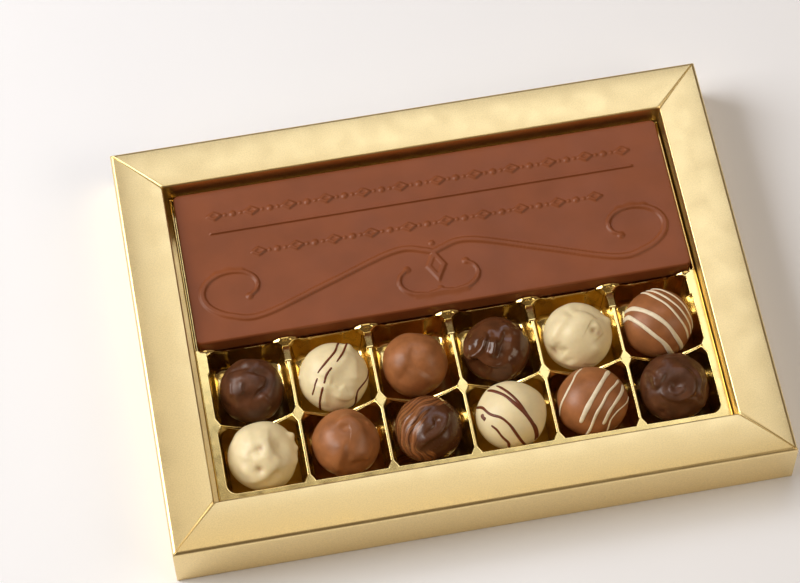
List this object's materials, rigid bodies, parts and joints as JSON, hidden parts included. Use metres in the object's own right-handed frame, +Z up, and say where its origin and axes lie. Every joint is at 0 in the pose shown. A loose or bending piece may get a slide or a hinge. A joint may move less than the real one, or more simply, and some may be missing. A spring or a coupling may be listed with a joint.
{
  "type": "box of chocolate pralines",
  "caption": "Gold card frame box, open at its window, with a gold moulded tray that holds a flat milk chocolate bar and two rows of pralines.",
  "frame": {"origin": "middle of the underside of the box", "axes": "+X along the long side, +Y from the praline rows towards the bar, +Z up"},
  "size_m": [0.245, 0.1806, 0.0254],
  "materials": {
    "gold_card": "satin gold laminated card",
    "gold_foil_plastic": "mirror gold",
    "milk_chocolate": "satin",
    "dark_chocolate": "glossy",
    "white_chocolate": "satin"
  },
  "bodies": {
    "root": {"frame_carton": "gold_card", "moulded_tray": "gold_foil_plastic", "chocolate_bar": "milk_chocolate", "praline_01": "dark_chocolate", "praline_02": "white_chocolate", "praline_03": "milk_chocolate", "praline_04": "dark_chocolate", "praline_05": "white_chocolate", "praline_06": "milk_chocolate", "praline_07": "white_chocolate", "praline_08": "milk_chocolate", "praline_09": "dark_chocolate", "praline_10": "white_chocolate", "praline_11": "milk_chocolate", "praline_12": "dark_chocolate"}
  },
  "joints": []
}
